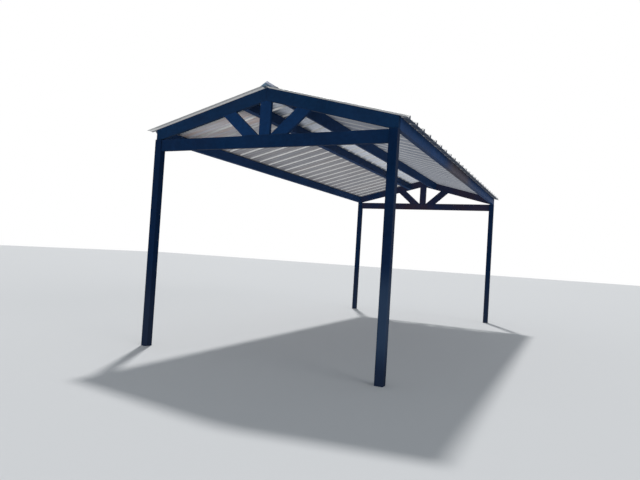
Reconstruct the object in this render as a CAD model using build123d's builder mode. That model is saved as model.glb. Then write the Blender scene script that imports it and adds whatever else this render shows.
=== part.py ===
from build123d import *
import math
import os

# Gabled steel carport: four square posts, two welded trusses, channel purlins and a ribbed sheet roof.
# Millimetres. X runs across, Y from front to rear, Z up, origin on the ground under the middle.

# Frame
frame_width = 3429.0
frame_length = 7620.0
clear_height = 2640.0

# Posts: square tube with closed ends
post_size = 101.6
post_wall = 4.8
post_corner = 9.0
post_plate = 5.0

# Trusses: rectangular tube on edge, centred on the posts
chord_depth = 152.4
chord_width = 50.8
chord_wall = 3.2
chord_corner = 6.0
chord_plate = 4.0
truss_rise = 443.0
seat_drop = 15.0
strut_foot = 201.0
strut_angle = 41.4

# Purlins: lipped channels, all with their webs to the right
purlin_depth = 152.4
purlin_flange = 63.5
purlin_lip = 19.0
purlin_wall = 2.5
purlin_corner = 5.0
purlin_left_x = -335.0
purlin_right_x = 343.0
eave_purlin_clearance = 0.1

# Roof sheets: ribs run down the slope, each sheet laps the one in front of it
sheet_wall = 1.0
lap_gap = 0.2
rib_pitch = 304.8
rib_height = 31.8
rib_base = 70.0
rib_top = 20.0
ribs_per_sheet = 3
minor_rib_height = 4.0
minor_rib_base = 40.0
minor_rib_top = 22.0
minor_ribs = 2
sheet_hem = 10.0
first_rib = 88.8
eave_overhang = 100.0
gable_overhang = 60.0
ridge_gap = 28.0

# Ridge cap, in three lapped lengths
cap_wall = 1.0
cap_reach = 140.0
cap_lip = 12.0
cap_peak = 82.0
cap_lap = 80.0
cap_count = 3

half_width = frame_width / 2
half_length = frame_length / 2
post_height = clear_height + chord_depth
slope_angle = math.atan(truss_rise / half_width)
slope_cos = math.cos(slope_angle)
slope_sin = math.sin(slope_angle)
eave_height = post_height + chord_depth / slope_cos - seat_drop
ridge_height = eave_height + truss_rise
post_x = half_width - post_size / 2
truss_y = half_length - post_size / 2
purlin_run = 2 * truss_y - chord_width

os.makedirs("parts", exist_ok=True)


def roof_height(x):
    """Height of the sheets' underside at a distance x from the middle."""
    return ridge_height - abs(x) * truss_rise / half_width


def save(part, node):
    part.label = node
    export_step(part, f"parts/{node}.step")


# Posts
with BuildPart() as post:
    with BuildSketch(Plane.XY):
        RectangleRounded(post_size, post_size, post_corner)
    extrude(amount=post_height)
    with BuildSketch(Plane.XY.offset(post_plate)):
        bore = post_size - 2 * post_wall
        RectangleRounded(bore, bore, post_corner - post_wall)
    extrude(amount=post_height - 2 * post_plate, mode=Mode.SUBTRACT)

for row, y in (("front", -truss_y), ("rear", truss_y)):
    for side, x in (("left", -post_x), ("right", post_x)):
        save(post.part.moved(Location((x, y, 0))), f"post_{row}_{side}")


def tube_bore(mode=Mode.ADD):
    """Bore of the truss tube."""
    bore_width = chord_width - 2 * chord_wall
    bore_depth = chord_depth - 2 * chord_wall
    RectangleRounded(bore_width, bore_depth, chord_corner - chord_wall, mode=mode)


def truss_tube():
    """Profile of the truss tube, with its deep side along the sketch's Y."""
    RectangleRounded(chord_width, chord_depth, chord_corner)
    tube_bore(Mode.SUBTRACT)


# Planes that the truss members are cut on
seat_plane = Plane.XY.offset(post_height)
apex_under_chord = (0, 0, ridge_height - chord_depth / slope_cos)
right_under_chord = Plane(apex_under_chord, x_dir=(0, 1, 0), z_dir=(slope_sin, 0, slope_cos))
left_under_chord = Plane(apex_under_chord, x_dir=(0, 1, 0), z_dir=(-slope_sin, 0, slope_cos))

# Bottom chord, between the posts
chord_span = frame_width - 2 * post_size
with BuildPart() as bottom_chord:
    chord_axis = (-chord_span / 2, 0, clear_height + chord_depth / 2)
    with BuildSketch(Plane(chord_axis, x_dir=(0, 1, 0), z_dir=(1, 0, 0))):
        truss_tube()
    extrude(amount=chord_span)

# Right top chord: mitred at the ridge, plumb and closed at the post's outer face, level on the post
chord_drop = chord_depth / 2
chord_top = (-chord_drop * slope_sin, 0, ridge_height - chord_drop * slope_cos)
chord_plane = Plane(chord_top, x_dir=(0, 1, 0), z_dir=(slope_cos, 0, -slope_sin))
chord_start = chord_plane.offset(-chord_depth)
chord_run = half_width / slope_cos + 3 * chord_depth
with BuildPart() as chord_bore:
    with BuildSketch(chord_start):
        tube_bore()
    extrude(amount=chord_run)
    split(bisect_by=Plane.YZ.offset(half_width - chord_plate), keep=Keep.BOTTOM)

with BuildPart() as top_chord:
    with BuildSketch(chord_start):
        RectangleRounded(chord_width, chord_depth, chord_corner)
    extrude(amount=chord_run)
    split(bisect_by=Plane.YZ, keep=Keep.TOP)
    split(bisect_by=Plane.YZ.offset(half_width), keep=Keep.BOTTOM)
    split(bisect_by=seat_plane, keep=Keep.TOP)
    add(chord_bore.part, mode=Mode.SUBTRACT)

# King post, cut to both slopes
with BuildPart() as king_post:
    with BuildSketch(Plane((0, 0, post_height), x_dir=(0, 1, 0), z_dir=(0, 0, 1))):
        truss_tube()
    extrude(amount=truss_rise)
    split(bisect_by=right_under_chord, keep=Keep.BOTTOM)
    split(bisect_by=left_under_chord, keep=Keep.BOTTOM)

# Right strut, rising outwards from the foot of the king post
strut_run = math.cos(math.radians(strut_angle))
strut_climb = math.sin(math.radians(strut_angle))
with BuildPart() as strut:
    strut_plane = Plane((strut_foot, 0, post_height), x_dir=(0, 1, 0), z_dir=(strut_run, 0, strut_climb))
    with BuildSketch(strut_plane.offset(-2 * chord_depth)):
        truss_tube()
    extrude(amount=2 * truss_rise + 2 * chord_depth)
    split(bisect_by=seat_plane, keep=Keep.TOP)
    split(bisect_by=right_under_chord, keep=Keep.BOTTOM)

for row, y in (("front", -truss_y), ("rear", truss_y)):
    place = Location((0, y, 0))
    save(bottom_chord.part.moved(place), f"{row}_bottom_chord")
    save(king_post.part.moved(place), f"{row}_king_post")
    for name, member in (("top_chord", top_chord), ("strut", strut)):
        save(member.part.moved(place), f"{row}_{name}_right")
        save(mirror(member.part, about=Plane.YZ).moved(place), f"{row}_{name}_left")


def channel(plane, depth, run):
    """Lipped channel along Y, its web's outer top corner on the plane's origin, flanges towards -X."""
    inner_corner = purlin_corner - purlin_wall
    lip_slot = depth - 2 * purlin_lip
    with BuildPart() as purlin:
        with BuildSketch(plane):
            with Locations((-purlin_flange / 2, -depth / 2)):
                RectangleRounded(purlin_flange, depth, purlin_corner)
                bore_width = purlin_flange - 2 * purlin_wall
                bore_depth = depth - 2 * purlin_wall
                RectangleRounded(bore_width, bore_depth, inner_corner, mode=Mode.SUBTRACT)
            with Locations((-purlin_flange, -depth / 2)):
                Rectangle(4 * purlin_wall, lip_slot, mode=Mode.SUBTRACT)
        extrude(amount=run / 2, both=True)
    return purlin.part


# Eave purlins: plumb, standing on the post tops between the trusses, under the sheets' lower edge
corner_rise = purlin_corner * (slope_sin + slope_cos - 1) / slope_cos
eave_purlin_depth = eave_height + corner_rise - eave_purlin_clearance - post_height
for side, x in (("left", purlin_flange - half_width), ("right", half_width)):
    top = Plane((x, 0, post_height + eave_purlin_depth), x_dir=(1, 0, 0), z_dir=(0, -1, 0))
    save(channel(top, eave_purlin_depth, purlin_run), f"eave_purlin_{side}")

# Roof purlins: square to the slope, between the trusses, flush with their tops
for side, x, tilt in (("left", purlin_left_x, slope_sin), ("right", purlin_right_x, -slope_sin)):
    top = Plane((x, 0, roof_height(x)), x_dir=(slope_cos, 0, tilt), z_dir=(0, -1, 0))
    save(channel(top, purlin_depth, purlin_run), f"roof_purlin_{side}")


def rib(centre, base, top, height, lift):
    """Four points of a trapezoidal rib, the lift raising its first three."""
    return [
        (centre - base / 2, lift),
        (centre - top / 2, height + lift),
        (centre + top / 2, height + lift),
        (centre + base / 2, 0),
    ]


# Roof sheets: places along the roof are measured from the frame's front
roof_front = -gable_overhang
roof_rear = frame_length + gable_overhang
main_ribs = [first_rib]
while main_ribs[-1] + rib_pitch < frame_length:
    main_ribs.append(main_ribs[-1] + rib_pitch)
low_pitch = rib_pitch / (minor_ribs + 1)
ribs = [(centre, rib_base, rib_top, rib_height) for centre in main_ribs]
for main in [first_rib - rib_pitch] + main_ribs:
    for number in range(1, minor_ribs + 1):
        centre = main + number * low_pitch
        if roof_front < centre - minor_rib_base / 2 and centre + minor_rib_base / 2 < roof_rear:
            ribs.append((centre, minor_rib_base, minor_rib_top, minor_rib_height))
ribs.sort()


def sheet_line(start, end):
    """Underside of one sheet. Its first rib laps the sheet in front, its last is lapped by the next."""
    line = []
    for centre, base, top, height in ribs:
        if start <= centre <= end:
            lift = sheet_wall + lap_gap if centre == start else 0.0
            line += rib(centre, base, top, height, lift)
    if start == roof_front:
        line.insert(0, (roof_front, 0))
    else:
        line.insert(0, (start - rib_base / 2 - sheet_hem, sheet_wall + lap_gap))
    if end == roof_rear:
        line.append((roof_rear, 0))
    else:
        line.pop()
    return line


slope_length = (half_width + eave_overhang) / slope_cos
ridge_point = (0, -half_length, ridge_height)
ridge_plane = Plane(ridge_point, x_dir=(0, 1, 0), z_dir=(slope_cos, 0, -slope_sin))
lap_ribs = main_ribs[ribs_per_sheet - 1:-1:ribs_per_sheet]
sheet_ends = [roof_front] + lap_ribs + [roof_rear]
for number in range(1, len(sheet_ends)):
    under = sheet_line(sheet_ends[number - 1], sheet_ends[number])
    over = [(along, up + sheet_wall) for along, up in reversed(under)]
    with BuildPart() as sheet:
        with BuildSketch(ridge_plane.offset(ridge_gap)):
            with BuildLine():
                Polyline(*under, *over, close=True)
            make_face()
        extrude(amount=slope_length - ridge_gap)
    save(sheet.part, f"roof_sheet_right_{number}")
    save(mirror(sheet.part, about=Plane.YZ), f"roof_sheet_left_{number}")

# Ridge cap between the trusses' outer faces: front and rear lengths, and a middle one lapped over both
rib_crest = (rib_height + 2 * sheet_wall + 2 * lap_gap) / slope_cos
cap_bend = cap_reach - cap_lip
cap_end = truss_y + chord_width / 2
cap_part = 2 * cap_end / cap_count
for name, start, end, lift in (
    ("front", -cap_end, -cap_end + cap_part, 0),
    ("middle", -cap_end + cap_part - cap_lap, cap_end - cap_part + cap_lap, cap_wall + lap_gap),
    ("rear", cap_end - cap_part, cap_end, 0),
):
    seat = rib_crest + lift
    edge = roof_height(cap_reach) + seat
    bend = roof_height(cap_bend) + seat
    peak = ridge_height + cap_peak + lift
    with BuildPart() as cap:
        with BuildSketch(Plane.XZ.offset(-start)):
            with BuildLine():
                Polyline(
                    (-cap_reach, edge),
                    (-cap_bend, bend),
                    (0, peak),
                    (cap_bend, bend),
                    (cap_reach, edge),
                    (cap_reach, edge + cap_wall),
                    (cap_bend, bend + cap_wall),
                    (0, peak + cap_wall),
                    (-cap_bend, bend + cap_wall),
                    (-cap_reach, edge + cap_wall),
                    close=True,
                )
            make_face()
        extrude(amount=start - end)
    save(cap.part, f"ridge_cap_{name}")
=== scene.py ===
import bpy
import math
from mathutils import Matrix, Vector


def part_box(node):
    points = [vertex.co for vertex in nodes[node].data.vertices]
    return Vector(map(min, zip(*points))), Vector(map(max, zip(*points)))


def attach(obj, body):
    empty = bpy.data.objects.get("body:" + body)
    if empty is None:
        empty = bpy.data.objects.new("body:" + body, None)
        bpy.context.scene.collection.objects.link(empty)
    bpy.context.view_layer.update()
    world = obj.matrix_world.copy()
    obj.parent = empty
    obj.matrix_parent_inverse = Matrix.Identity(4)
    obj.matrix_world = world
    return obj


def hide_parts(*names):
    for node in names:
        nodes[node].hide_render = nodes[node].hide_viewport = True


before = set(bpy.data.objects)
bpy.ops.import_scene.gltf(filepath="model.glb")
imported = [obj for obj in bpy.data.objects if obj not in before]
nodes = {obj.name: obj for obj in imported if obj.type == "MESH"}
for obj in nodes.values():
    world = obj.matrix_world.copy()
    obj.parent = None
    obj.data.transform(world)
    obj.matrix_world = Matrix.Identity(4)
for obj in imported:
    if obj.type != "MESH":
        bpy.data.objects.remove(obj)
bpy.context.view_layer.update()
print("frame loaded:", len(nodes), "nodes")

# The camera stands right of the carport's front, low, looking a little up and to the left.
camera = {
    "place": (3.499, -9.2558, 1.3820),
    "yaw": -0.4502,     # turned left of straight ahead
    "pitch": 0.0258,
    "roll": 0.0621,
    "focal": 528.995,   # in pixels of a picture 640 wide
    "width": 640,
    "sensor": 36.0,
    "farthest": 500,    # how many metres it sees
}


def buildCamera():
    cosYaw, sinYaw = math.cos(camera["yaw"]), math.sin(camera["yaw"])
    cosPitch, sinPitch = math.cos(camera["pitch"]), math.sin(camera["pitch"])
    ahead = Vector((sinYaw * cosPitch, cosYaw * cosPitch, sinPitch))
    level = Vector((cosYaw, -sinYaw, 0))
    steep = level.cross(ahead)
    right = math.cos(camera["roll"]) * level + math.sin(camera["roll"]) * steep
    up = right.cross(ahead)
    data = bpy.data.cameras.new("camera")
    data.sensor_width = camera["sensor"]
    data.lens = camera["focal"] / camera["width"] * camera["sensor"]
    data.clip_end = camera["farthest"]
    seen = bpy.data.objects.new("camera", data)
    turn = Matrix((right, up, -ahead)).transposed().to_4x4()
    seen.matrix_world = Matrix.Translation(camera["place"]) @ turn
    bpy.context.scene.collection.objects.link(seen)
    bpy.context.scene.camera = seen


buildCamera()
print("camera placed")


# Short ways to place and join nodes, for shaders and for geometry.
def feed(tree, socket, value):
    if isinstance(value, bpy.types.NodeSocket):
        tree.links.new(value, socket)
    else:
        socket.default_value = value


def feedAll(tree, node, inputs):
    for key, value in inputs.items():
        feed(tree, node.inputs[key], value)


def addNode(tree, kind, inputs=None, **settings):
    node = tree.nodes.new(kind)
    for key, value in settings.items():
        setattr(node, key, value)
    feedAll(tree, node, inputs or {})
    return node


def calc(tree, operation, *values):
    return addNode(tree, "ShaderNodeMath", dict(enumerate(values)), operation=operation).outputs[0]


def product(tree, first, *others):
    for other in others:
        first = calc(tree, "MULTIPLY", first, other)
    return first


# As the value goes from the first end to the second, the result goes from low to high.
def remap(tree, value, ends, low=0.0, high=1.0, curve="LINEAR"):
    return addNode(tree, "ShaderNodeMapRange", {
        "Value": value, "From Min": ends[0], "From Max": ends[1], "To Min": low, "To Max": high},
        interpolation_type=curve).outputs["Result"]


def blendFloat(tree, share, low, high):
    return remap(tree, share, (0.0, 1.0), low, high)


# By number, 6 and 7 take the colours and 2 gives the result.
def blendColor(tree, share, low, high, mode="MIX"):
    return addNode(tree, "ShaderNodeMix", {"Factor": share, 6: low, 7: high},
                   data_type="RGBA", blend_type=mode).outputs[2]


# The colour made darker or lighter by a tone near 1.
def toned(tree, color, tone):
    grey = addNode(tree, "ShaderNodeCombineColor", {0: tone, 1: tone, 2: tone}).outputs[0]
    return blendColor(tree, 1.0, color, grey, "MULTIPLY")


def noiseAt(tree, place, scale, detail, roughness=0.5):
    return addNode(tree, "ShaderNodeTexNoise", {
        "Vector": place, "Scale": scale, "Detail": detail, "Roughness": roughness}).outputs["Fac"]


def splitVector(tree, vector):
    return addNode(tree, "ShaderNodeSeparateXYZ", {"Vector": vector}).outputs


def joinVector(tree, x=0.0, y=0.0, z=0.0):
    return addNode(tree, "ShaderNodeCombineXYZ", {"X": x, "Y": y, "Z": z}).outputs[0]


def newGroup(name, kind, inputs, outputs):
    tree = bpy.data.node_groups.new(name, kind)
    for label, socketType in inputs:
        tree.interface.new_socket(label, in_out="INPUT", socket_type=socketType)
    for label, socketType in outputs:
        tree.interface.new_socket(label, in_out="OUTPUT", socket_type=socketType)
    given = tree.nodes.new("NodeGroupInput").outputs
    result = tree.nodes.new("NodeGroupOutput").inputs
    return tree, given, result


def floats(*labels):
    return [(label, "NodeSocketFloat") for label in labels]


def newMaterial(name):
    material = bpy.data.materials.new(name)
    material.use_nodes = True
    tree = material.node_tree
    tree.nodes.clear()
    output = tree.nodes.new("ShaderNodeOutputMaterial")
    shader = tree.nodes.new("ShaderNodeBsdfPrincipled")
    tree.links.new(shader.outputs["BSDF"], output.inputs["Surface"])
    return material, tree, shader


# Light: a high key from the rear left, soft light thrown up from the ground in front, which shows the ribs
# under the roof, a low fill from the right, and a pale even surround.
studio = {
    "floorReach": 60.0,
    "floorColor": (0.62, 0.62, 0.62, 1),
    "floorRoughness": 0.9,
    "surroundColor": (0.80, 0.90, 1.0, 1),
    "surroundStrength": 0.36,
    "backdropColor": (1, 1, 1, 1),
    "backdropStrength": 1,
    # strength, degrees across, degrees above the floor, degrees round from the front
    "lamps": {
        "key": (2.2, 4.0, 56.0, -151.0),
        "bounce": (2.1, 14.0, -21.0, 7.0),
        "side": (1.3, 40.0, 10.0, 75.0),
    },
}


def buildSurround():
    world = bpy.data.worlds.new("surround")
    world.use_nodes = True
    tree = world.node_tree
    tree.nodes.clear()
    output = tree.nodes.new("ShaderNodeOutputWorld")
    soft = addNode(tree, "ShaderNodeBackground",
                   {"Color": studio["surroundColor"], "Strength": studio["surroundStrength"]})
    backdrop = addNode(tree, "ShaderNodeBackground",
                       {"Color": studio["backdropColor"], "Strength": studio["backdropStrength"]})
    path = addNode(tree, "ShaderNodeLightPath").outputs
    sight = calc(tree, "ADD", path["Is Camera Ray"], path["Is Glossy Ray"])
    sight = calc(tree, "MINIMUM", calc(tree, "ADD", sight, path["Is Transmission Ray"]), 1)
    pick = addNode(tree, "ShaderNodeMixShader", {"Fac": sight, 1: soft.outputs[0], 2: backdrop.outputs[0]})
    tree.links.new(pick.outputs[0], output.inputs["Surface"])
    bpy.context.scene.world = world


def buildFloor():
    reach = studio["floorReach"]
    mesh = bpy.data.meshes.new("floor")
    corners = [(-reach, -reach, 0), (reach, -reach, 0), (reach, reach, 0), (-reach, reach, 0)]
    mesh.from_pydata(corners, [], [(0, 1, 2, 3)])
    floor = bpy.data.objects.new("floor", mesh)
    bpy.context.scene.collection.objects.link(floor)
    material, tree, shader = newMaterial("paleFloor")
    feedAll(tree, shader, {"Base Color": studio["floorColor"], "Roughness": studio["floorRoughness"]})
    floor.data.materials.append(material)
    floor.visible_shadow = False    # the bounce comes up through it


def buildLamps():
    for name, (strength, across, height, side) in studio["lamps"].items():
        data = bpy.data.lights.new(name, "SUN")
        data.energy = strength
        data.angle = math.radians(across)
        lamp = bpy.data.objects.new(name, data)
        # A lamp that isn't turned shines straight down.
        lamp.rotation_euler = (math.radians(90 - height), 0, math.radians(side))
        bpy.context.scene.collection.objects.link(lamp)


buildSurround()
buildFloor()
buildLamps()
bpy.context.scene.view_settings.view_transform = "Standard"
print("studio lit")


# Effects that more than one finish uses, with what stays the same from finish to finish. A spread says which
# part of the noise goes from nothing to full.
effects = {
    "cloudDetail": 5,
    "cloudRoughness": 0.6,
    "cloudSpread": (0.3, 0.7),
    "dustFacing": (0.1, 0.95),      # how far up a face looks where dust starts and where it is full
    "dustDetail": 6,
    "dustRoughness": 0.65,
    "dustSpread": (0.35, 0.7),
    "dustLeast": 0.25,
    "edgeSamples": 4,
    "edgeBend": (0.995, 0.85),      # how well the flat and the rounded face agree off an edge and on it
    "edgeScale": 30,
    "edgeDetail": 4,
    "edgeSpread": (0.35, 0.65),
}


# A tone that goes as far below 1 as above it, by the depth.
def toneAround(tree, share, depth):
    return blendFloat(tree, share, calc(tree, "SUBTRACT", 1, depth), calc(tree, "ADD", 1, depth))


def cloudGroup():
    tree, given, result = newGroup(
        "cloudyTone", "ShaderNodeTree",
        [("Position", "NodeSocketVector"), *floats("Scale", "Depth")], floats("Tone", "Cloud"))
    noise = noiseAt(tree, given["Position"], given["Scale"], effects["cloudDetail"], effects["cloudRoughness"])
    cloud = remap(tree, noise, effects["cloudSpread"])
    tree.links.new(toneAround(tree, cloud, given["Depth"]), result["Tone"])
    tree.links.new(cloud, result["Cloud"])
    return tree


def dustGroup():
    tree, given, result = newGroup(
        "settledDust", "ShaderNodeTree",
        [("Color", "NodeSocketColor"), ("Position", "NodeSocketVector"), ("Dust Color", "NodeSocketColor"),
         *floats("Amount", "Scale")],
        [("Color", "NodeSocketColor"), *floats("Mask")])
    facing = addNode(tree, "ShaderNodeNewGeometry").outputs["Normal"]
    upward = remap(tree, splitVector(tree, facing)["Z"], effects["dustFacing"])
    noise = noiseAt(tree, given["Position"], given["Scale"], effects["dustDetail"], effects["dustRoughness"])
    patch = remap(tree, noise, effects["dustSpread"], low=effects["dustLeast"])
    mask = product(tree, upward, patch, given["Amount"])
    tree.links.new(blendColor(tree, mask, given["Color"], given["Dust Color"]), result["Color"])
    tree.links.new(mask, result["Mask"])
    return tree


def edgeGroup():
    tree, given, result = newGroup(
        "rubbedEdge", "ShaderNodeTree",
        [("Position", "NodeSocketVector"), *floats("Width", "Amount")], floats("Mask"))
    rounded = addNode(tree, "ShaderNodeBevel", {"Radius": given["Width"]}, samples=effects["edgeSamples"])
    facing = addNode(tree, "ShaderNodeNewGeometry").outputs["Normal"]
    match = addNode(tree, "ShaderNodeVectorMath", {0: rounded.outputs[0], 1: facing}, operation="DOT_PRODUCT")
    bent = remap(tree, match.outputs["Value"], effects["edgeBend"])
    broken = remap(tree, noiseAt(tree, given["Position"], effects["edgeScale"], effects["edgeDetail"]),
                   effects["edgeSpread"])
    tree.links.new(product(tree, bent, broken, given["Amount"]), result["Mask"])
    return tree


def spangleGroup():
    tree, given, result = newGroup(
        "zincSpangle", "ShaderNodeTree",
        [("Position", "NodeSocketVector"), *floats("Size", "Depth")], floats("Tone", "Cell"))
    scale = calc(tree, "DIVIDE", 1, given["Size"])
    cells = addNode(tree, "ShaderNodeTexVoronoi", {"Vector": given["Position"], "Scale": scale})
    cell = addNode(tree, "ShaderNodeSeparateColor", {"Color": cells.outputs["Color"]}).outputs[0]
    tree.links.new(toneAround(tree, cell, given["Depth"]), result["Tone"])
    tree.links.new(cell, result["Cell"])
    return tree


cloudyTone = cloudGroup()
settledDust = dustGroup()
rubbedEdge = edgeGroup()
zincSpangle = spangleGroup()


def placeGroup(tree, group, inputs):
    return addNode(tree, "ShaderNodeGroup", inputs, node_tree=group).outputs


def cloudAt(tree, place, scale, depth=0.0):
    return placeGroup(tree, cloudyTone, {"Position": place, "Scale": scale, "Depth": depth})


def dustOver(tree, color, place, dustColor, amount, scale):
    return placeGroup(tree, settledDust, {
        "Color": color, "Position": place, "Dust Color": dustColor, "Amount": amount, "Scale": scale})


def objectPlace(tree):
    return addNode(tree, "ShaderNodeTexCoord").outputs["Object"]


framePaint = {
    "cloudScale": 1.6,
    "cloudDepth": 0.20,
    "mottleScale": 26.0,
    "mottleDepth": 0.14,
    "roughness": (0.42, 0.56),
    "specular": 0.012,
    # the sheen is tinted blue, a painted sky reflection
    "specularTint": (0.40, 0.65, 1.0, 1),
    "dustColor": (0.10, 0.105, 0.11, 1),
    "dust": 0.22,
    "dustScale": 9.0,
    "dustDull": 0.4,        # how much rougher full dust is
    "edgeColor": (0.034, 0.044, 0.062, 1),
    "edgeWidth": 0.005,
    "edge": 0.5,
    "primerAndReflectionColor": (0.028, 0.016, 0.015, 1),
    "primerScale": 1.1,
    # The colour of each kind of member, lit and shaded copies of one paint: webs and purlins painted lighter and
    # posts darker, as painted light and shade; and how much primer shows through it.
    "litAndShadedCoats": {
        "post": ((0.0017, 0.0095, 0.0310, 1), 0.10),
        "chord": ((0.0026, 0.0135, 0.0415, 1), 0.10),
        "rafter": ((0.0032, 0.0160, 0.0450, 1), 0.10),
        "web": ((0.0037, 0.0190, 0.0600, 1), 0.08),
        "purlin": ((0.0120, 0.0350, 0.0960, 1), 0.12),
        # the rear truss's large primer share is a painted warm reflection of the ground
        "rearTruss": ((0.0022, 0.0125, 0.0410, 1), 0.85),
    },
    # Stains by member, and a painted sky reflection on the front right post: the place, how far from it the mark
    # ends and is full in metres, its least and full strength, and its colour.
    "stainsAndReflection": {
        "purlin": ((1.7145, -0.35, 2.87), (1.20, 0.35), (0.62, 1.0), (0.071, 0.057, 0.057, 1)),
        # a bluish paler patch on the front right post, a painted sky reflection
        "post": ((1.6637, -3.81, 0.72), (0.62, 0.20), (0.60, 1.0), (0.020, 0.037, 0.070, 1)),
    },
    "paleFoot": (1.25, 0.45),     # how high the posts' paler lower part ends and is full, metres
    "paleFootStrength": (0.18, 0.55),
    "paleFootColor": (0.017, 0.021, 0.030, 1),
    "peelScale": 420.0,
    "peelDetail": 2,
    "peel": 0.00012,
    "waveScale": 7.0,
    "waveDetail": 1,
    "wave": 0.0006,
}


# A cloudy patch that fades out as the distance goes from full to end.
def blotch(tree, away, reach, cloud, strength, color, patchColor):
    near = remap(tree, away, reach, curve="SMOOTHSTEP")
    mask = product(tree, near, blendFloat(tree, cloud, *strength))
    return blendColor(tree, mask, color, patchColor)


# The coat is thin in places, and the primer shows through it in patches; on the rear truss the primer colour
# spreads over most of it as a painted warm reflection.
def paintFrame(member):
    values = framePaint
    base, primerAndReflectionShare = values["litAndShadedCoats"][member]
    material, tree, shader = newMaterial(member + "Paint")
    place = objectPlace(tree)
    cloud = cloudAt(tree, place, values["cloudScale"], values["cloudDepth"])
    mottle = cloudAt(tree, place, values["mottleScale"], values["mottleDepth"])
    # Each member's copy of the paint is lighter where more light falls on it, a painted light.
    color = toned(tree, base, product(tree, cloud["Tone"], mottle["Tone"]))
    thin = cloudAt(tree, place, values["primerScale"])["Cloud"]
    color = blendColor(tree, product(tree, thin, primerAndReflectionShare), color, values["primerAndReflectionColor"])
    # The posts are paler towards the foot.
    if member == "post":
        color = blotch(tree, splitVector(tree, place)["Z"], values["paleFoot"], thin, values["paleFootStrength"],
                       color, values["paleFootColor"])
    # On the purlins this patch is a stain; on the posts it is a painted sky reflection.
    if member in values["stainsAndReflection"]:
        spot, reach, strength, stainAndReflectionColor = values["stainsAndReflection"][member]
        away = addNode(tree, "ShaderNodeVectorMath", {0: place, 1: spot}, operation="DISTANCE").outputs["Value"]
        color = blotch(tree, away, reach, thin, strength, color, stainAndReflectionColor)
    edge = placeGroup(tree, rubbedEdge, {
        "Position": place, "Width": values["edgeWidth"], "Amount": values["edge"]})
    color = blendColor(tree, edge["Mask"], color, values["edgeColor"])
    dust = dustOver(tree, color, place, values["dustColor"], values["dust"], values["dustScale"])
    rough = blendFloat(tree, cloud["Cloud"], *values["roughness"])
    rough = calc(tree, "ADD", rough, product(tree, dust["Mask"], values["dustDull"]))
    peel = noiseAt(tree, place, values["peelScale"], values["peelDetail"])
    wave = noiseAt(tree, place, values["waveScale"], values["waveDetail"])
    fine = addNode(tree, "ShaderNodeBump", {"Height": peel, "Distance": values["peel"]}).outputs[0]
    broad = addNode(tree, "ShaderNodeBump", {"Height": wave, "Distance": values["wave"], "Normal": fine})
    feedAll(tree, shader, {
        "Base Color": dust["Color"], "Roughness": rough, "Normal": broad.outputs[0],
        "Specular IOR Level": values["specular"], "Specular Tint": values["specularTint"]})
    return material


roofMetal = {
    "topTones": ((0.410, 0.412, 0.414, 1), (0.392, 0.395, 0.398, 1), (0.428, 0.428, 0.427, 1)),
    "topFlankHighlightTone": (0.640, 0.640, 0.632, 1),
    "underTones": ((0.240, 0.242, 0.265, 1), (0.230, 0.232, 0.256, 1), (0.250, 0.250, 0.270, 1)),
    "rightLightTint": (0.905, 0.98, 1.115, 1),
    "stainTint": (0.98, 0.70, 0.55, 1),
    "stainStretch": (1.1, 30.0, 1.1),    # how much the pattern is squeezed each way
    "stainSpread": (0.35, 0.80),
    "stainDepth": (0.30, 1.0),           # at the rear and at the front
    "flankHighlightTone": (0.47, 0.47, 0.465, 1),
    "ridgeLightTone": (0.72, 0.75, 0.82, 1),
    "besideShadeTone": (0.066, 0.086, 0.118, 1),
    "besideFrom": 0.335,     # out from the ridge, metres
    "besideTo": 0.270,
    "besideFront": 0.150,    # how much wider the painted shade beside the purlins is at the front
    "frontLightTone": (0.462, 0.466, 0.508, 1),
    "front": (-1.9, -3.0),   # along the roof from its middle, metres
    "gableLightTone": (0.60, 0.60, 0.59, 1),
    "gableLight": (3.775, 3.795),    # how far from the roof's middle the back starts to be painted paler, a painted light on the gable overhangs, metres
    "capTone": (0.330, 0.360, 0.380, 1),
    "capShade": (0.180, 0.290, 0.410, 1),
    "capShine": (0.680, 0.720, 0.840, 1),
    "capShadeReach": -0.026,     # left of this the cap's back is dark, metres
    "topMetallic": 0.55,
    "underMetallic": 0.12,
    "topRoughness": (0.40, 0.56),
    "underRoughness": (0.50, 0.64),
    "spangleSize": 0.012,
    "spangleDepth": 0.08,
    "cloudScale": 2.2,
    "cloudDepth": 0.05,
    "streakStretch": (0.9, 26.0, 0.9),
    "streakDepth": 0.06,
    "dustColor": (0.34, 0.33, 0.31, 1),
    "dust": 0.40,
    "dustScale": 1.5,
    "dustDull": 0.3,         # how much rougher full dust is
    "eaveShadeColor": (0.027, 0.041, 0.068, 1),
    "eaveShadeFade": (1.700, 1.760),    # out from the ridge, metres
    "eaveShadeWaver": 0.03,
    "eaveShade": 0.90,
    "canScale": 3.5,         # slow waves in the flat of the sheet
    "canDetail": 1,
    "can": 0.004,
}


# Rain and rolling leave streaks that run down the slope, so their pattern is squeezed along the roof.
def squeezed(tree, place, stretch):
    return addNode(tree, "ShaderNodeMapping", {"Vector": place, "Scale": stretch}).outputs[0]


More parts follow.
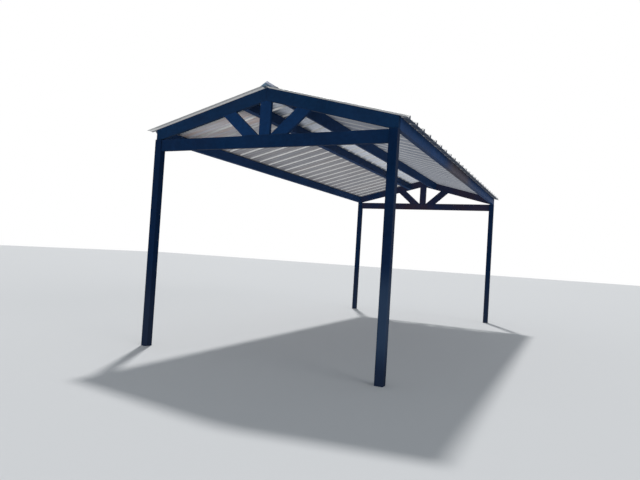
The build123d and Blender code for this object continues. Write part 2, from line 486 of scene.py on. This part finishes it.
# A sheet's back: painted bluer on the right slope, a painted tint of the light there, and on the left one painted
# paler to the front, a painted light, with thin brown streaks. Between the two roof purlins it is painted bright,
# a painted sky reflection, with painted shade beside them. The ribs' flanks carry a painted highlight, and
# outside the trusses the back is painted paler, a painted light on the gable overhangs.
def sheetBack(tree, place, under, out, flankHighlight, gableLight):
    values = roofMetal
    split = splitVector(tree, place)
    front = remap(tree, split["Y"], values["front"])
    left = calc(tree, "LESS_THAN", split["X"], 0.0)
    # The right slope's back is painted bluer, a painted tint of the light on it.
    tinted = [channel * tint for channel, tint in zip(under, values["rightLightTint"])]
    back = blendColor(tree, calc(tree, "SUBTRACT", 1, left), under, tinted)
    # The left slope's back is painted paler to the front, a painted light.
    back = blendColor(tree, product(tree, front, left), back, values["frontLightTone"])
    stripe = cloudAt(tree, squeezed(tree, place, values["stainStretch"]), 1.0)["Cloud"]
    stripe = product(tree, remap(tree, stripe, values["stainSpread"]), left,
                     blendFloat(tree, front, *values["stainDepth"]))
    back = blendColor(tree, stripe, back, values["stainTint"], "MULTIPLY")
    # Painted shade beside the roof purlins, wider at the front.
    reach = calc(tree, "MULTIPLY_ADD", front, -values["besideFront"], values["besideTo"])
    awayFromShade = remap(tree, out, (values["besideFrom"], reach), curve="SMOOTHSTEP")
    # Towards the ridge the back is painted bright and bluish, a painted sky reflection.
    ridge = blendColor(tree, awayFromShade, values["besideShadeTone"], values["ridgeLightTone"])
    back = blendColor(tree, calc(tree, "LESS_THAN", out, values["besideFrom"]), back, ridge)
    # The ribs' flanks carry a painted highlight.
    back = blendColor(tree, flankHighlight, back, values["flankHighlightTone"])
    # Outside the trusses the back is painted paler, a painted light on the gable overhangs.
    return blendColor(tree, gableLight, back, values["gableLightTone"])


# Bare coated sheet: spangled and shiny on top, dull on the back, and with painted shade on the back along the drip
# edge.
def coatMetal(name, top, under=None):
    values = roofMetal
    material, tree, shader = newMaterial(name)
    place = objectPlace(tree)
    facing = addNode(tree, "ShaderNodeNewGeometry").outputs["True Normal"]
    upper = calc(tree, "GREATER_THAN", splitVector(tree, facing)["Z"], 0.0)
    cloud = cloudAt(tree, place, values["cloudScale"], values["cloudDepth"])
    spangle = placeGroup(tree, zincSpangle, {
        "Position": place, "Size": values["spangleSize"], "Depth": values["spangleDepth"]})
    stretched = squeezed(tree, place, values["streakStretch"])
    streak = cloudAt(tree, stretched, 1.0, values["streakDepth"])
    split = splitVector(tree, place)
    out = calc(tree, "ABSOLUTE", split["X"])
    gableLight = remap(tree, calc(tree, "ABSOLUTE", split["Y"]), values["gableLight"])
    flankHighlight = addNode(tree, "ShaderNodeAttribute", attribute_name="flankHighlight").outputs["Fac"]
    if under:
        back = sheetBack(tree, place, under, out, flankHighlight, gableLight)
    else:
        shaded = calc(tree, "LESS_THAN", split["X"], values["capShadeReach"])
        back = blendColor(tree, shaded, values["capShine"], values["capShade"])
    # On top the flanks are painted paler, a painted highlight.
    face = blendColor(tree, flankHighlight, top, values["topFlankHighlightTone"])
    tone = product(tree, cloud["Tone"], spangle["Tone"], streak["Tone"])
    color = toned(tree, blendColor(tree, upper, back, face), tone)
    dust = dustOver(tree, color, stretched, values["dustColor"], values["dust"], values["dustScale"])
    # Painted shade on the back outside the eave purlins, kept off the top and the gable overhangs.
    edge = calc(tree, "MULTIPLY_ADD", streak["Cloud"], values["eaveShadeWaver"], out)
    kept = calc(tree, "SUBTRACT", 1, calc(tree, "MAXIMUM", upper, gableLight))
    eaveShade = product(tree, remap(tree, edge, values["eaveShadeFade"], high=values["eaveShade"]), kept)
    topRough = blendFloat(tree, spangle["Cell"], *values["topRoughness"])
    underRough = blendFloat(tree, cloud["Cloud"], *values["underRoughness"])
    rough = blendFloat(tree, upper, underRough, topRough)
    rough = calc(tree, "ADD", rough, product(tree, dust["Mask"], values["dustDull"]))
    shine = blendFloat(tree, upper, values["underMetallic"], values["topMetallic"])
    canned = noiseAt(tree, place, values["canScale"], values["canDetail"])
    bump = addNode(tree, "ShaderNodeBump", {"Height": canned, "Distance": values["can"]})
    feedAll(tree, shader, {
        "Base Color": blendColor(tree, eaveShade, dust["Color"], values["eaveShadeColor"]), "Roughness": rough,
        "Metallic": product(tree, shine, calc(tree, "SUBTRACT", 1, eaveShade)), "Normal": bump.outputs[0]})
    return material


screwFinish = {
    "color": (0.50, 0.51, 0.53, 1),
    "cloudScale": 160.0,
    "cloudDepth": 0.12,
    "dust": 0.3,
    "dustScale": 60.0,
    "roughness": (0.28, 0.5),
    "sealColor": (0.018, 0.018, 0.019, 1),
    "sealCloudScale": 240.0,
    "sealCloudDepth": 0.2,
    "sealRoughness": (0.65, 0.85),
}


def finishScrews():
    values = screwFinish
    steel, tree, shader = newMaterial("screwSteel")
    place = objectPlace(tree)
    cloud = cloudAt(tree, place, values["cloudScale"], values["cloudDepth"])
    color = toned(tree, values["color"], cloud["Tone"])
    dust = dustOver(tree, color, place, roofMetal["dustColor"], values["dust"], values["dustScale"])
    feedAll(tree, shader, {
        "Base Color": dust["Color"], "Metallic": 1.0,
        "Roughness": blendFloat(tree, cloud["Cloud"], *values["roughness"])})

    rubber, tree, shader = newMaterial("sealRubber")
    cloud = cloudAt(tree, objectPlace(tree), values["sealCloudScale"], values["sealCloudDepth"])
    feedAll(tree, shader, {
        "Base Color": toned(tree, values["sealColor"], cloud["Tone"]),
        "Roughness": blendFloat(tree, cloud["Cloud"], *values["sealRoughness"])})
    return steel, rubber


paints = {member: paintFrame(member) for member in framePaint["litAndShadedCoats"]}
sheetMetals = [coatMetal(f"roofMetal{number}", top, under) for number, (top, under)
               in enumerate(zip(roofMetal["topTones"], roofMetal["underTones"]), 1)]
capMetal = coatMetal("capMetal", roofMetal["capTone"])
screwSteel, sealRubber = finishScrews()


def finishFor(name):
    if name.startswith("roof_sheet"):
        return sheetMetals[int(name[-1]) % len(sheetMetals)]
    if name.startswith("ridge_cap"):
        return capMetal
    if "purlin" in name:
        return paints["purlin"]
    if name.startswith("post"):
        return paints["post"]
    if name.startswith("rear_"):
        return paints["rearTruss"]
    if "top_chord" in name:
        return paints["rafter"]
    return paints["chord" if "chord" in name else "web"]


for name, node in nodes.items():
    node.data.materials.clear()
    node.data.materials.append(finishFor(name))
print("finishes made")

# The frame's sizes in metres, the struts' angle in degrees, and what follows from them.
frameSizes = {
    "width": 3.429, "length": 7.620, "clearHeight": 2.640, "post": 0.1016,
    "chordDepth": 0.1524, "chordWidth": 0.0508, "rise": 0.443, "seatDrop": 0.015,
    "strutFoot": 0.201, "strutAngle": 41.4,
    "purlinDepth": 0.1524, "purlinFlange": 0.0635, "purlinLip": 0.019, "purlinLeft": -0.335, "purlinRight": 0.343,
}
halfWidth = frameSizes["width"] / 2
halfLength = frameSizes["length"] / 2
slope = math.atan(frameSizes["rise"] / halfWidth)
slopeCos, slopeSin, slopeTan = math.cos(slope), math.sin(slope), math.tan(slope)
postHeight = frameSizes["clearHeight"] + frameSizes["chordDepth"]
ridgeHeight = postHeight + frameSizes["chordDepth"] / slopeCos - frameSizes["seatDrop"] + frameSizes["rise"]
trussPlace = halfLength - frameSizes["post"] / 2


def newTree(name, inputs):
    tree, given, result = newGroup(name, "GeometryNodeTree", inputs, [("Geometry", "NodeSocketGeometry")])
    tree.is_modifier = True
    return tree, given, result["Geometry"]


def endTree(tree, geometry, result, material, seal=None):
    real = addNode(tree, "GeometryNodeRealizeInstances", {"Geometry": geometry}).outputs[0]
    coated = addNode(tree, "GeometryNodeSetMaterial", {"Geometry": real, "Material": material}).outputs[0]
    if seal:
        mark = readMark(tree, "seal", "BOOLEAN")
        coated = addNode(tree, "GeometryNodeSetMaterial", {
            "Geometry": coated, "Material": seal, "Selection": mark}).outputs[0]
    tree.links.new(coated, result)


def readMark(tree, name, kind):
    return addNode(tree, "GeometryNodeInputNamedAttribute", {"Name": name}, data_type=kind).outputs[0]


def storeMark(tree, geometry, name, value, kind, domain):
    return addNode(tree, "GeometryNodeStoreNamedAttribute", {"Geometry": geometry, "Name": name, "Value": value},
                   data_type=kind, domain=domain).outputs[0]


# A tree's inputs go by the same words as the values in its dictionary.
def inputsFrom(values, *labels):
    return {label: values[label[0].lower() + label[1:].replace(" ", "")] for label in labels}


# Marks that only steer the growing, taken off the finished piece.
helperMarks = ("lean", "count", "seal")


def growPiece(name, tree, values, crease, start=None, wall=0.0):
    piece = bpy.data.objects.new(name, start or bpy.data.meshes.new(name))
    bpy.context.scene.collection.objects.link(piece)
    modifier = piece.modifiers.new("grow", "NODES")
    modifier.node_group = tree
    for item in tree.interface.items_tree:
        if item.in_out == "INPUT" and item.name in values:
            modifier[item.identifier] = values[item.name]
    if wall:
        shell = piece.modifiers.new("wall", "SOLIDIFY")
        shell.thickness = wall
        shell.offset = 1
    seen = piece.evaluated_get(bpy.context.evaluated_depsgraph_get())
    grown = bpy.data.meshes.new_from_object(seen)
    piece.modifiers.clear()
    if grown.materials[0] is None:      # an empty slot can come before the tree's own
        grown.materials.pop(index=0)
    for mark in helperMarks:
        if mark in grown.attributes:
            grown.attributes.remove(grown.attributes[mark])
    piece.data = grown
    grown.name = name
    grown.shade_smooth()
    grown.set_sharp_from_angle(angle=math.radians(crease))
    return piece


# Roof sheets: tall ribs at an even pitch with two low ones between, each sheet lapping the one in front.
sheetShape = {
    "firstRib": 0.0888, "ribPitch": 0.3048, "ribHeight": 0.0318, "ribBase": 0.070, "ribTop": 0.020,
    "lowHeight": 0.004, "lowBase": 0.040, "lowTop": 0.022, "bend": 0.0024, "hem": 0.010,
    "lapLift": 0.0012, "wall": 0.0007, "gableOverhang": 0.060, "eaveOverhang": 0.100, "ridgeGap": 0.028,
    "ribCount": 25, "ribsPerSheet": 3, "rows": 5, "crease": 18,
    "lowFlank": 0.35,           # how strong a low rib's painted flank highlight is beside a tall one's
    "mergeWithin": 0.0001,      # places closer than this become one
}
ribPlaces = 8       # places across a rib, two at every fold
ribsInPitch = 3     # a tall rib, then two low ones
lapPlaces = 6       # places at a sheet's start that lie on the one in front
flankFolds = (1.5, 0.6)     # a flank's two folds are 1 and 2, so both are nearer than 0.6 to 1.5


def pickValue(tree, index, values):
    node = addNode(tree, "GeometryNodeIndexSwitch", data_type="FLOAT")
    while len(node.index_switch_items) < len(values):
        node.index_switch_items.new()
    feed(tree, node.inputs["Index"], index)
    for number, value in enumerate(values):
        feed(tree, node.inputs[str(number)], value)
    return node.outputs[0]


# Where a place lies along the roof and how high over the pan, and which of its half's four folds it is at.
def ribProfile(tree, given, slot, tall, centre):
    base = product(tree, blendFloat(tree, tall, given["Low Base"], given["Rib Base"]), 0.5)
    top = product(tree, blendFloat(tree, tall, given["Low Top"], given["Rib Top"]), 0.5)
    height = blendFloat(tree, tall, given["Low Height"], given["Rib Height"])
    # The second half of a rib's places mirrors the first.
    fold = calc(tree, "MINIMUM", slot, calc(tree, "SUBTRACT", ribPlaces - 1, slot))
    half = calc(tree, "SIGN", calc(tree, "SUBTRACT", slot, (ribPlaces - 1) / 2))
    lean = calc(tree, "ARCTAN2", height, calc(tree, "SUBTRACT", base, top))
    bendRun = product(tree, given["Bend"], calc(tree, "COSINE", lean))
    bendRise = product(tree, given["Bend"], calc(tree, "SINE", lean))
    reach = pickValue(tree, fold, [
        calc(tree, "ADD", base, given["Bend"]), calc(tree, "SUBTRACT", base, bendRun),
        calc(tree, "ADD", top, bendRun), calc(tree, "SUBTRACT", top, given["Bend"])])
    rise = pickValue(tree, fold, [0.0, bendRise, calc(tree, "SUBTRACT", height, bendRise), height])
    return calc(tree, "MULTIPLY_ADD", half, reach, centre), rise, fold


# The place itself, from how far it is along the roof, down the slope and up from the pan.
def slopePlace(tree, given, along, down, rise):
    cosine = calc(tree, "COSINE", given["Slope"])
    sine = calc(tree, "SINE", given["Slope"])
    across = calc(tree, "MULTIPLY_ADD", down, cosine, product(tree, rise, sine))
    drop = calc(tree, "SUBTRACT", product(tree, rise, cosine), product(tree, down, sine))
    return joinVector(
        tree, product(tree, across, given["Side"]), calc(tree, "ADD", along, given["Front"]),
        calc(tree, "ADD", drop, given["Ridge Height"]))


def sheetTree():
    tree, given, result = newTree("ribbedSheet", [
        ("First Number", "NodeSocketInt"), ("Ribs", "NodeSocketInt"), ("Rows", "NodeSocketInt"),
        *floats("Start", "End", "End Height", "Lap Lift", "Side", "Front", "First Rib", "Rib Pitch", "Rib Height",
                "Rib Base", "Rib Top", "Low Height", "Low Base", "Low Top", "Bend", "Upper", "Lower", "Slope",
                "Ridge Height"),
        ("Material", "NodeSocketMaterial")])
    # One column for each place, and one more at each end that closes the sheet.
    columns = calc(tree, "MULTIPLY_ADD", given["Ribs"], ribPlaces, 2)
    grid = addNode(tree, "GeometryNodeMeshGrid", {"Vertices X": columns, "Vertices Y": given["Rows"]}).outputs[0]
    index = addNode(tree, "GeometryNodeInputIndex").outputs[0]
    column = calc(tree, "FLOOR", calc(tree, "DIVIDE", index, given["Rows"]))
    row = calc(tree, "SUBTRACT", index, product(tree, column, given["Rows"]))
    inner = calc(tree, "SUBTRACT", column, 1)
    rib = calc(tree, "FLOOR", calc(tree, "DIVIDE", inner, ribPlaces))
    slot = calc(tree, "SUBTRACT", inner, product(tree, rib, ribPlaces))
    number = calc(tree, "ADD", rib, given["First Number"])
    tall = calc(tree, "LESS_THAN", calc(tree, "FLOORED_MODULO", number, ribsInPitch), 0.5)
    pitch = calc(tree, "DIVIDE", given["Rib Pitch"], ribsInPitch)
    centre = calc(tree, "MULTIPLY_ADD", number, pitch, given["First Rib"])
    along, rise, fold = ribProfile(tree, given, slot, tall, centre)
    # The last column and all past the end close up on the sheet's end, the first on its start. Columns are
    # whole numbers, so a mark half-way between two tells them apart.
    last = calc(tree, "GREATER_THAN", column, calc(tree, "SUBTRACT", columns, 1.5))
    past = calc(tree, "MAXIMUM", last, calc(tree, "GREATER_THAN", along, given["End"]))
    along = blendFloat(tree, past, along, given["End"])
    rise = blendFloat(tree, past, rise, given["End Height"])
    first = calc(tree, "LESS_THAN", column, 0.5)
    along = blendFloat(tree, first, along, given["Start"])
    rise = product(tree, rise, calc(tree, "SUBTRACT", 1, first))
    lapped = calc(tree, "LESS_THAN", column, lapPlaces + 0.5)
    rise = calc(tree, "MULTIPLY_ADD", lapped, given["Lap Lift"], rise)
    share = calc(tree, "DIVIDE", row, calc(tree, "SUBTRACT", given["Rows"], 1))
    down = blendFloat(tree, share, given["Upper"], given["Lower"])
    shaped = addNode(tree, "GeometryNodeSetPosition", {
        "Geometry": grid, "Position": slopePlace(tree, given, along, down, rise)}).outputs[0]
    # This mark carries the flanks' painted highlight: full on tall ribs, weaker on low ones, none at the sheet's
    # ends.
    steep = product(tree, calc(tree, "COMPARE", fold, *flankFolds),
                    blendFloat(tree, tall, sheetShape["lowFlank"], 1.0),
                    calc(tree, "SUBTRACT", 1, calc(tree, "MAXIMUM", past, first)))
    shaped = storeMark(tree, shaped, "flankHighlight", steep, "FLOAT", "POINT")
    closed = addNode(tree, "GeometryNodeMergeByDistance", {
        "Geometry": shaped, "Distance": sheetShape["mergeWithin"]}).outputs[0]
    rightSide = addNode(tree, "FunctionNodeCompare", {"A": given["Side"], "B": 0.0}, data_type="FLOAT",
                        operation="GREATER_THAN").outputs[0]
    facing = addNode(tree, "GeometryNodeFlipFaces", {"Mesh": closed, "Selection": rightSide}).outputs[0]
    endTree(tree, facing, result, given["Material"])
    return tree


def ribPlace(rib):
    return sheetShape["firstRib"] + rib * sheetShape["ribPitch"]


# The ribs over which the sheets lap.
def lapRibs():
    return range(sheetShape["ribsPerSheet"] - 1, sheetShape["ribCount"] - 1, sheetShape["ribsPerSheet"])


def buildSheets():
    tree = sheetTree()
    shape = sheetShape
    slopeLength = (halfWidth + shape["eaveOverhang"]) / slopeCos
    for side, word in ((-1, "left"), (1, "right")):
        for number, (start, end) in enumerate(zip([None, *lapRibs()], [*lapRibs(), None]), 1):
            if start is None:
                firstNumber, startAt, lapLift = -1, -shape["gableOverhang"], 0.0
            else:
                firstNumber, lapLift = ribsInPitch * start, shape["lapLift"]
                startAt = ribPlace(start) - shape["ribBase"] / 2 - shape["hem"]
            if end is None:
                lastNumber = ribsInPitch * shape["ribCount"] - 1
                endAt, endHeight = frameSizes["length"] + shape["gableOverhang"], 0.0
            else:
                lastNumber, endHeight = ribsInPitch * end, shape["ribHeight"]
                endAt = ribPlace(end) + shape["ribTop"] / 2
            node = f"roof_sheet_{word}_{number}"
            piece = growPiece(f"sheet_{word}_{number}", tree, {
                **inputsFrom(shape, "Rows", "First Rib", "Rib Pitch", "Rib Height", "Rib Base", "Rib Top",
                             "Low Height", "Low Base", "Low Top", "Bend"),
                "First Number": firstNumber, "Ribs": lastNumber - firstNumber + 1, "Start": startAt, "End": endAt,
                "End Height": endHeight, "Lap Lift": lapLift, "Side": float(side), "Front": -halfLength,
                "Upper": shape["ridgeGap"], "Lower": slopeLength, "Slope": slope, "Ridge Height": ridgeHeight,
                "Material": sheetMetals[number % len(sheetMetals)],
            }, shape["crease"], wall=shape["wall"])
            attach(piece, "root")
            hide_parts(node)


buildSheets()
print("roof sheets grown")

# Self-drilling screws with bonded washers, in rows along the purlins, the chords, the laps and the ridge cap.
screwShape = {
    "headRadius": 0.0046, "headHeight": 0.0048, "collarRadius": 0.0058, "collarHeight": 0.0011,
    "washerRadius": 0.0078, "washerHeight": 0.0012, "sealRadius": 0.0074, "sealHeight": 0.0018,
    "shankRadius": 0.0026, "shankLength": 0.019, "tipLength": 0.006, "tipRadius": 0.0002,
    "headSides": 6, "collarSides": 8, "washerSides": 10, "sealSides": 8, "shankSides": 5,
    "crease": 40, "scatter": 0.0025, "spin": 1.05, "seed": 11,
    "besideRib": 0.058, "eaveLine": 1.68275,
    "chordLines": (0.038, 7.565),
    # Down each chord and each lap: from where, to where, and how many.
    "chordRow": (0.24, 1.59, 6),
    "lapRow": (0.28, 1.62, 4),
    "capLine": 0.118, "capPeak": 0.082, "capBend": 0.128, "capWall": 0.001,
    "capRuns": ((0, 7, 0.0), (8, 16, 0.0012), (17, 24, 0.0)),   # first rib, last rib and lift of each length
    "solidSheet": 0.001, "solidGap": 0.0002,    # the cap sits over two sheets of the solid roof and their gaps
}


# A short round with its radii at the bottom and at the top, standing at the height of its floor.
def disc(tree, sides, low, high, depth, floor):
    cone = addNode(tree, "GeometryNodeMeshCone", {
        "Vertices": sides, "Radius Bottom": low, "Radius Top": high, "Depth": depth}).outputs[0]
    return addNode(tree, "GeometryNodeTransform", {
        "Geometry": cone, "Translation": joinVector(tree, z=floor)}).outputs[0]


# By number, 2 and 3 take the ends and 1 gives the result.
def randomValue(tree, low, high, seed):
    return addNode(tree, "FunctionNodeRandomValue", {2: low, 3: high, "Seed": seed}, data_type="FLOAT").outputs[1]


def turnBy(tree, **angles):
    return addNode(tree, "FunctionNodeEulerToRotation", {"Euler": joinVector(tree, **angles)}).outputs[0]


screwLabels = ("Head Radius", "Head Height", "Collar Radius", "Collar Height", "Washer Radius", "Washer Height",
               "Seal Radius", "Seal Height", "Shank Radius", "Shank Length", "Tip Length", "Scatter", "Spin")


# One screw, from the rubber seal at its place up to the head and down to the tip.
def screwParts(tree, given):
    shape = screwShape
    seal = disc(tree, shape["sealSides"], given["Seal Radius"], given["Seal Radius"], given["Seal Height"], 0.0)
    seal = storeMark(tree, seal, "seal", True, "BOOLEAN", "FACE")
    overWasher = calc(tree, "ADD", given["Seal Height"], given["Washer Height"])
    overCollar = calc(tree, "ADD", overWasher, given["Collar Height"])
    below = product(tree, given["Shank Length"], -1)
    parts = [seal]
    for sides, low, high, depth, floor in (
            ("washerSides", "Washer Radius", "Collar Radius", "Washer Height", given["Seal Height"]),
            ("collarSides", "Collar Radius", "Head Radius", "Collar Height", overWasher),
            ("headSides", "Head Radius", "Head Radius", "Head Height", overCollar),
            ("shankSides", "Shank Radius", "Shank Radius", "Shank Length", below)):
        parts.append(disc(tree, shape[sides], given[low], given[high], given[depth], floor))
    parts.append(disc(tree, shape["shankSides"], shape["tipRadius"], given["Shank Radius"],
                      given["Tip Length"], calc(tree, "SUBTRACT", below, given["Tip Length"])))
    joined = addNode(tree, "GeometryNodeJoinGeometry")
    for part in parts:
        tree.links.new(part, joined.inputs[0])
    return joined.outputs[0]


def screwTree():
    tree, given, result = newTree("roofScrews", [
        ("Geometry", "NodeSocketGeometry"), *floats(*screwLabels), ("Seed", "NodeSocketInt"),
        ("Steel", "NodeSocketMaterial"), ("Rubber", "NodeSocketMaterial")])
    line = addNode(tree, "GeometryNodeMeshToCurve", {"Mesh": given["Geometry"]}).outputs[0]
    places = addNode(tree, "GeometryNodeResampleCurve", {
        "Curve": line, "Count": readMark(tree, "count", "INT")}).outputs[0]
    screw = screwParts(tree, given)
    leaning = turnBy(tree, y=readMark(tree, "lean", "FLOAT"))
    spun = turnBy(tree, z=randomValue(tree, 0.0, given["Spin"], given["Seed"]))
    turn = addNode(tree, "FunctionNodeRotateRotation", {"Rotation": leaning, "Rotate By": spun},
                   rotation_space="LOCAL").outputs[0]
    least = product(tree, given["Scatter"], -1)
    stray = randomValue(tree, least, given["Scatter"], calc(tree, "ADD", given["Seed"], 1))
    moved = addNode(tree, "GeometryNodeSetPosition", {
        "Geometry": places, "Offset": joinVector(tree, y=stray)}).outputs[0]
    screws = addNode(tree, "GeometryNodeInstanceOnPoints", {
        "Points": moved, "Instance": screw, "Rotation": turn}).outputs[0]
    endTree(tree, screws, result, given["Steel"], given["Rubber"])
    return tree


# A place on the roof: out on one side, along from the front, down the slope and up from its face.
def roofPoint(side, along, down, up):
    across = side * (down * slopeCos + up * slopeSin)
    return Vector((across, along - halfLength, ridgeHeight - down * slopeSin + up * slopeCos))


# Each row: where it starts and ends, how far its screws lean, and how many they are.
def screwRows():
    shape, sheet = screwShape, sheetShape
    rows = []
    flange = frameSizes["purlinFlange"] / 2
    eave = shape["eaveLine"] / slopeCos
    ridgeLine = {-1: -frameSizes["purlinLeft"] / slopeCos + flange,
                 1: frameSizes["purlinRight"] / slopeCos - flange}
    crest = sheet["ribHeight"] + sheet["lapLift"] + sheet["wall"]
    for side in (-1, 1):
        lean = side * slope
        for down, offset in ((eave, -shape["besideRib"]), (eave, shape["besideRib"]),
                             (ridgeLine[side], shape["besideRib"])):
            ends = [roofPoint(side, ribPlace(rib) + offset, down, sheet["wall"])
                    for rib in (0, sheet["ribCount"] - 1)]
            rows.append((*ends, lean, sheet["ribCount"]))
        *reach, count = shape["chordRow"]
        for along in shape["chordLines"]:
            rows.append((*[roofPoint(side, along, down, sheet["wall"]) for down in reach], lean, count))
        *reach, count = shape["lapRow"]
        for rib in lapRibs():
            rows.append((*[roofPoint(side, ribPlace(rib), down, crest) for down in reach], lean, count))
        rows += capRows(side)
    return rows


def capRows(side):
    shape = screwShape
    crest = (sheetShape["ribHeight"] + 2 * shape["solidSheet"] + 2 * shape["solidGap"]) / slopeCos
    bend = crest - shape["capBend"] * slopeTan
    fall = (shape["capPeak"] - bend) / shape["capBend"]
    lean = side * math.atan(fall)
    rows = []
    for first, last, lift in shape["capRuns"]:
        height = ridgeHeight + shape["capPeak"] - shape["capLine"] * fall + shape["capWall"] + lift
        ends = [Vector((side * shape["capLine"], ribPlace(rib) - halfLength, height)) for rib in (first, last)]
        rows.append((*ends, lean, last - first + 1))
    return rows


def buildScrews():
    rows = screwRows()
    lines = bpy.data.meshes.new("screwRows")
    lines.from_pydata([end for row in rows for end in row[:2]], [(2 * n, 2 * n + 1) for n in range(len(rows))], [])
    for mark, kind, slot in (("lean", "FLOAT", 2), ("count", "INT", 3)):
        both = [row[slot] for row in rows for end in row[:2]]
        lines.attributes.new(mark, kind, "POINT").data.foreach_set("value", both)
    piece = growPiece("roof_screws", screwTree(), {
        **inputsFrom(screwShape, *screwLabels, "Seed"), "Steel": screwSteel, "Rubber": sealRubber,
    }, screwShape["crease"], start=lines)
    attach(piece, "root")
    print("screws driven:", sum(row[3] for row in rows))


buildScrews()

# Weld beads along the joints of the frame.
weldShape = {
    "bead": 0.0032, "ripple": 0.0042, "step": 0.0015, "sides": 7, "crease": 60,
    "depth": 0.16, "wander": 0.12,      # how much of its thickness a bead ripples and wanders
    "wanderScale": 55, "wanderDetail": 2,
    "wanderGain": 4,                    # takes the noise from a quarter each way to one each way
    "ridgeGaps": (0.012, 0.006),        # left bare at the bottom and the top of the ridge's upright seam
    "seatGap": 0.004, "purlinGap": 0.007,
}


def weldTree():
    tree, given, result = newTree("weldBead", [
        ("Geometry", "NodeSocketGeometry"), *floats("Bead", "Ripple", "Step", "Depth", "Wander"),
        ("Sides", "NodeSocketInt"), ("Material", "NodeSocketMaterial")])
    path = addNode(tree, "GeometryNodeMeshToCurve", {"Mesh": given["Geometry"]}).outputs[0]
    fine = addNode(tree, "GeometryNodeResampleCurve", {"Curve": path, "Length": given["Step"]}, mode="LENGTH")
    length = addNode(tree, "GeometryNodeSplineParameter").outputs["Length"]
    turns = product(tree, calc(tree, "DIVIDE", length, given["Ripple"]), 2 * math.pi)
    ripple = calc(tree, "MULTIPLY_ADD", calc(tree, "SINE", turns), given["Depth"], 1)
    place = addNode(tree, "GeometryNodeInputPosition").outputs[0]
    noise = noiseAt(tree, place, weldShape["wanderScale"], weldShape["wanderDetail"])
    wander = product(tree, calc(tree, "SUBTRACT", noise, 0.5),
                     product(tree, given["Wander"], weldShape["wanderGain"]))
    ring = addNode(tree, "GeometryNodeCurvePrimitiveCircle", {
        "Resolution": given["Sides"], "Radius": given["Bead"]}).outputs[0]
    bead = addNode(tree, "GeometryNodeCurveToMesh", {
        "Curve": fine.outputs[0], "Profile Curve": ring, "Scale": calc(tree, "ADD", ripple, wander),
        "Fill Caps": True}).outputs[0]
    endTree(tree, bead, result, given["Material"])
    return tree


# The beads' paths as lists of points: those that close on themselves, and those that don't.
def weldPaths():
    half = frameSizes["chordWidth"] / 2
    deep = frameSizes["chordDepth"] / 2
    under = ridgeHeight - frameSizes["chordDepth"] / slopeCos
    chordEnd = halfWidth - frameSizes["post"]
    strutAngle = math.radians(frameSizes["strutAngle"])
    strutTan = math.tan(strutAngle)
    feet = [frameSizes["strutFoot"] + sign * deep / math.sin(strutAngle) for sign in (-1, 1)]
    heads = [(under - postHeight + foot * strutTan) / (strutTan + slopeTan) for foot in feet]
    seatStart = halfWidth - frameSizes["seatDrop"] / slopeTan
    low, high = weldShape["ridgeGaps"]
    closed, opened = [], []
    for y in (-trussPlace, trussPlace):
        near, far = y - half, y + half
        inward = 1 if y < 0 else -1

        def ringAround(points):
            closed.append([(x, near, z) for x, z in points] + [(x, far, z) for x, z in reversed(points)])

        # The king post, at its foot and under the ridge.
        ringAround([(-deep, postHeight), (deep, postHeight)])
        ringAround([(-deep, under - deep * slopeTan), (0, under), (deep, under - deep * slopeTan)])
        for face in (near, far):
            opened.append([(0, face, under + low), (0, face, ridgeHeight - high)])
        for side in (-1, 1):
            # The bottom chord's end on the post.
            x, bottom = side * chordEnd, frameSizes["clearHeight"]
            closed.append([(x, near, bottom), (x, far, bottom), (x, far, postHeight), (x, near, postHeight)])
            # The strut's foot and head, and the top chord's seat on the post.
            ringAround([(side * foot, postHeight) for foot in feet])
            ringAround([(side * head, under - head * slopeTan) for head in heads])
            ringAround([(side * seatStart, postHeight), (side * (halfWidth - weldShape["seatGap"]), postHeight)])
        opened.extend(purlinPaths(y + inward * half, inward))
    return closed, opened


# A purlin's end: round its web, lower flange and lips, and on the eave purlins along the top of the post too.
def purlinPaths(y, inward):
    flange, lip, depth = frameSizes["purlinFlange"], frameSizes["purlinLip"], frameSizes["purlinDepth"]
    gap = weldShape["purlinGap"]
    paths = []
    for x, tilt in ((frameSizes["purlinLeft"], slopeSin), (frameSizes["purlinRight"], -slopeSin)):
        corner = Vector((x, y, ridgeHeight - abs(x) * slopeTan))
        across = Vector((slopeCos, 0, tilt))
        upward = Vector((-tilt, 0, slopeCos))
        paths.append([corner + across * a + upward * u for a, u in (
            (0, -gap), (0, -depth), (-flange, -depth), (-flange, lip - depth))])
        paths.append([corner + across * -flange + upward * u for u in (-gap, -lip)])
    for x, top in ((flange - halfWidth, "left"), (halfWidth, "right")):
        _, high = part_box("eave_purlin_" + top)
        reach = y + inward * (frameSizes["post"] - frameSizes["chordWidth"]) / 2
        paths.append([Vector((x, y, high.z - gap)), Vector((x, y, postHeight)), Vector((x, reach, postHeight))])
        paths.append([Vector((x - flange, reach, postHeight)), Vector((x - flange, y, postHeight)),
                      Vector((x - flange, y, postHeight + lip))])
    return paths


def buildWelds():
    closed, opened = weldPaths()
    points, edges = [], []
    for number, path in enumerate(closed + opened):
        first = len(points)
        points.extend(path)
        edges.extend((first + n, first + n + 1) for n in range(len(path) - 1))
        if number < len(closed):
            edges.append((first + len(path) - 1, first))
    lines = bpy.data.meshes.new("weldLines")
    lines.from_pydata(points, edges, [])
    piece = growPiece("frame_welds", weldTree(), {
        **inputsFrom(weldShape, "Bead", "Ripple", "Step", "Depth", "Wander", "Sides"), "Material": paints["chord"],
    }, weldShape["crease"], start=lines)
    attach(piece, "root")
    print("welds laid:", len(closed) + len(opened), "runs,", len(piece.data.polygons), "faces")


buildWelds()
